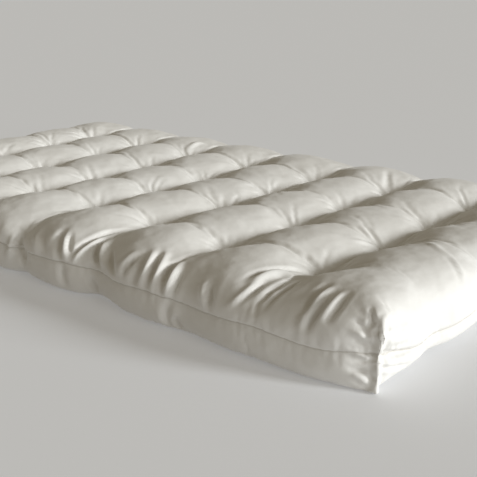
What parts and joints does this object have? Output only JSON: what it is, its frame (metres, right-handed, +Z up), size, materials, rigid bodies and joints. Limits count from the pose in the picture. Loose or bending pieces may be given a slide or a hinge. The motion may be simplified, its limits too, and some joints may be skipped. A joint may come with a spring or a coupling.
{
  "type": "tufted crib mattress",
  "caption": "Flat tufted crib mattress: thick filled cotton casing with puffed rolls between its tufts, boxed corners and one seam round the sides.",
  "frame": {"origin": "middle of the length and the width, on the surface that the underside lies on", "axes": "+X along the length, towards the fuller end; +Y across the width; +Z up, out of the upper face"},
  "size_m": [1.367, 0.7658, 0.1147],
  "materials": {
    "casing": "satin"
  },
  "bodies": {
    "root": {"mattress": "casing"}
  },
  "joints": []
}
